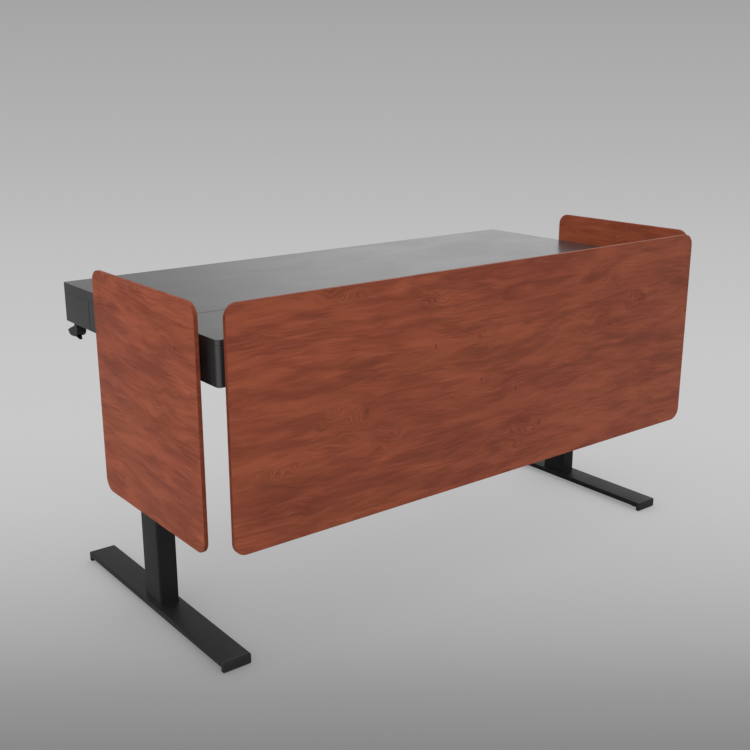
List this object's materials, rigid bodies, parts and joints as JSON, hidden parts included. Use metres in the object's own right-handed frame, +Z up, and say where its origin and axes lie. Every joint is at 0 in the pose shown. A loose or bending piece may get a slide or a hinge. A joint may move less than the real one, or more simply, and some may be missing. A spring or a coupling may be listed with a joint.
{
  "type": "electric standing desk",
  "caption": "Height-adjustable box desk on two telescopic T-legs, with cherry privacy panels at the back and sides, a hinged cable lid and an under-desk paddle control.",
  "frame": {"origin": "bottom centre of the whole object's bounding box, on the floor", "axes": "+Z up; +X to the seated user's right, along the desk's length; +Y from the user towards the wide back panel"},
  "size_m": [1.6808, 0.843, 0.891],
  "materials": {
    "powder_coat_black": "fine matt black powder coat",
    "plastic_black": "fine-textured black moulded plastic",
    "worktop_charcoal": "satin charcoal laminate on board",
    "skirt_black": "satin black laminate on board",
    "cable_black": "matt black cable jacket",
    "zinc_steel": "bright zinc-plated steel",
    "cast_alloy": "bead-blasted die casting",
    "cherry_wood": "satin red-brown cherry, grain along the length"
  },
  "bodies": {
    "base": {"foot_left": "powder_coat_black", "foot_right": "powder_coat_black", "foot_cap_front_left": "plastic_black", "foot_cap_rear_left": "plastic_black", "foot_cap_front_right": "plastic_black", "foot_cap_rear_right": "plastic_black", "column_outer_left": "powder_coat_black", "column_outer_right": "powder_coat_black", "column_outer_collar_left": "plastic_black", "column_outer_collar_right": "plastic_black", "lift_nut_tube_left": "zinc_steel", "lift_nut_tube_right": "zinc_steel"},
    "middle_stage_left": {"column_middle_left": "powder_coat_black", "column_middle_collar_left": "plastic_black", "hollow_screw_left": "zinc_steel"},
    "middle_stage_right": {"column_middle_right": "powder_coat_black", "column_middle_collar_right": "plastic_black", "hollow_screw_right": "zinc_steel"},
    "desk_top": {"column_inner_left": "powder_coat_black", "column_inner_right": "powder_coat_black", "gearbox_left": "cast_alloy", "gearbox_right": "cast_alloy", "motor_left": "powder_coat_black", "motor_right": "powder_coat_black", "top_support_left": "powder_coat_black", "top_support_right": "powder_coat_black", "cross_rail_front": "powder_coat_black", "cross_rail_rear": "powder_coat_black", "worktop": "worktop_charcoal", "skirt_front": "skirt_black", "skirt_rear": "skirt_black", "cable_trough": "powder_coat_black", "power_strip": "plastic_black", "control_box": "plastic_black", "motor_cable_left": "cable_black", "motor_cable_right": "cable_black", "power_cable": "cable_black", "control_cable": "cable_black", "hand_control_housing": "plastic_black", "back_panel": "cherry_wood", "side_panel_left": "cherry_wood", "side_panel_right": "cherry_wood", "back_bracket_left": "powder_coat_black", "back_bracket_centre": "powder_coat_black", "back_bracket_right": "powder_coat_black", "side_bracket_front_left": "powder_coat_black", "side_bracket_rear_left": "powder_coat_black", "side_bracket_front_right": "powder_coat_black", "side_bracket_rear_right": "powder_coat_black", "hinge_leaf_fixed": "zinc_steel", "hinge_pin": "zinc_steel"},
    "lid": {"rear_lid": "worktop_charcoal", "hinge_leaf_moving": "zinc_steel"},
    "paddle": {"hand_control_paddle": "plastic_black"},
    "spindle_left": {"lift_spindle_left": "zinc_steel"},
    "spindle_right": {"lift_spindle_right": "zinc_steel"},
    "glide_front_left": {"levelling_glide_front_left": "plastic_black"},
    "glide_front_right": {"levelling_glide_front_right": "plastic_black"},
    "glide_rear_left": {"levelling_glide_rear_left": "plastic_black"},
    "glide_rear_right": {"levelling_glide_rear_right": "plastic_black"}
  },
  "joints": [
    {"name": "lift", "type": "slide", "parent": "base", "child": "desk_top", "axis": [0, 0, 1], "range_m": [-0.19, 0.47]},
    {"name": "middle_stage_left_slide", "type": "slide", "parent": "base", "child": "middle_stage_left", "axis": [0, 0, 1], "range_m": [-0.096, 0.236]},
    {"name": "middle_stage_right_slide", "type": "slide", "parent": "base", "child": "middle_stage_right", "axis": [0, 0, 1], "range_m": [-0.096, 0.236]},
    {"name": "spindle_left_turn", "type": "hinge", "parent": "desk_top", "child": "spindle_left", "pos_m": [-0.76, -0.0215, 0.7347], "axis": [0, 0, 1], "range_deg": [-3430, 8470]},
    {"name": "spindle_right_turn", "type": "hinge", "parent": "desk_top", "child": "spindle_right", "pos_m": [0.76, -0.0215, 0.7347], "axis": [0, 0, 1], "range_deg": [-3430, 8470]},
    {"name": "rear_lid_hinge", "type": "hinge", "parent": "desk_top", "child": "lid", "pos_m": [0, 0.3985, 0.7978], "axis": [-1, 0, 0], "range_deg": [0, 78]},
    {"name": "hand_control_tilt", "type": "hinge", "parent": "desk_top", "child": "paddle", "pos_m": [0.7845, -0.393, 0.669], "axis": [1, 0, 0], "range_deg": [-10, 10]},
    {"name": "glide_front_left_screw", "type": "slide", "parent": "base", "child": "glide_front_left", "axis": [0, 0, -1], "range_m": [0, 0.01]},
    {"name": "glide_front_right_screw", "type": "slide", "parent": "base", "child": "glide_front_right", "axis": [0, 0, -1], "range_m": [0, 0.01]},
    {"name": "glide_rear_left_screw", "type": "slide", "parent": "base", "child": "glide_rear_left", "axis": [0, 0, -1], "range_m": [0, 0.01]},
    {"name": "glide_rear_right_screw", "type": "slide", "parent": "base", "child": "glide_rear_right", "axis": [0, 0, -1], "range_m": [0, 0.01]}
  ],
  "couplings": [
    {"joint": "middle_stage_left_slide", "follows": "lift", "ratio": 0.5},
    {"joint": "middle_stage_right_slide", "follows": "lift", "ratio": 0.5},
    {"joint": "spindle_left_turn", "follows": "lift", "rad_per_m": 314.16},
    {"joint": "spindle_right_turn", "follows": "lift", "rad_per_m": 314.16}
  ]
}
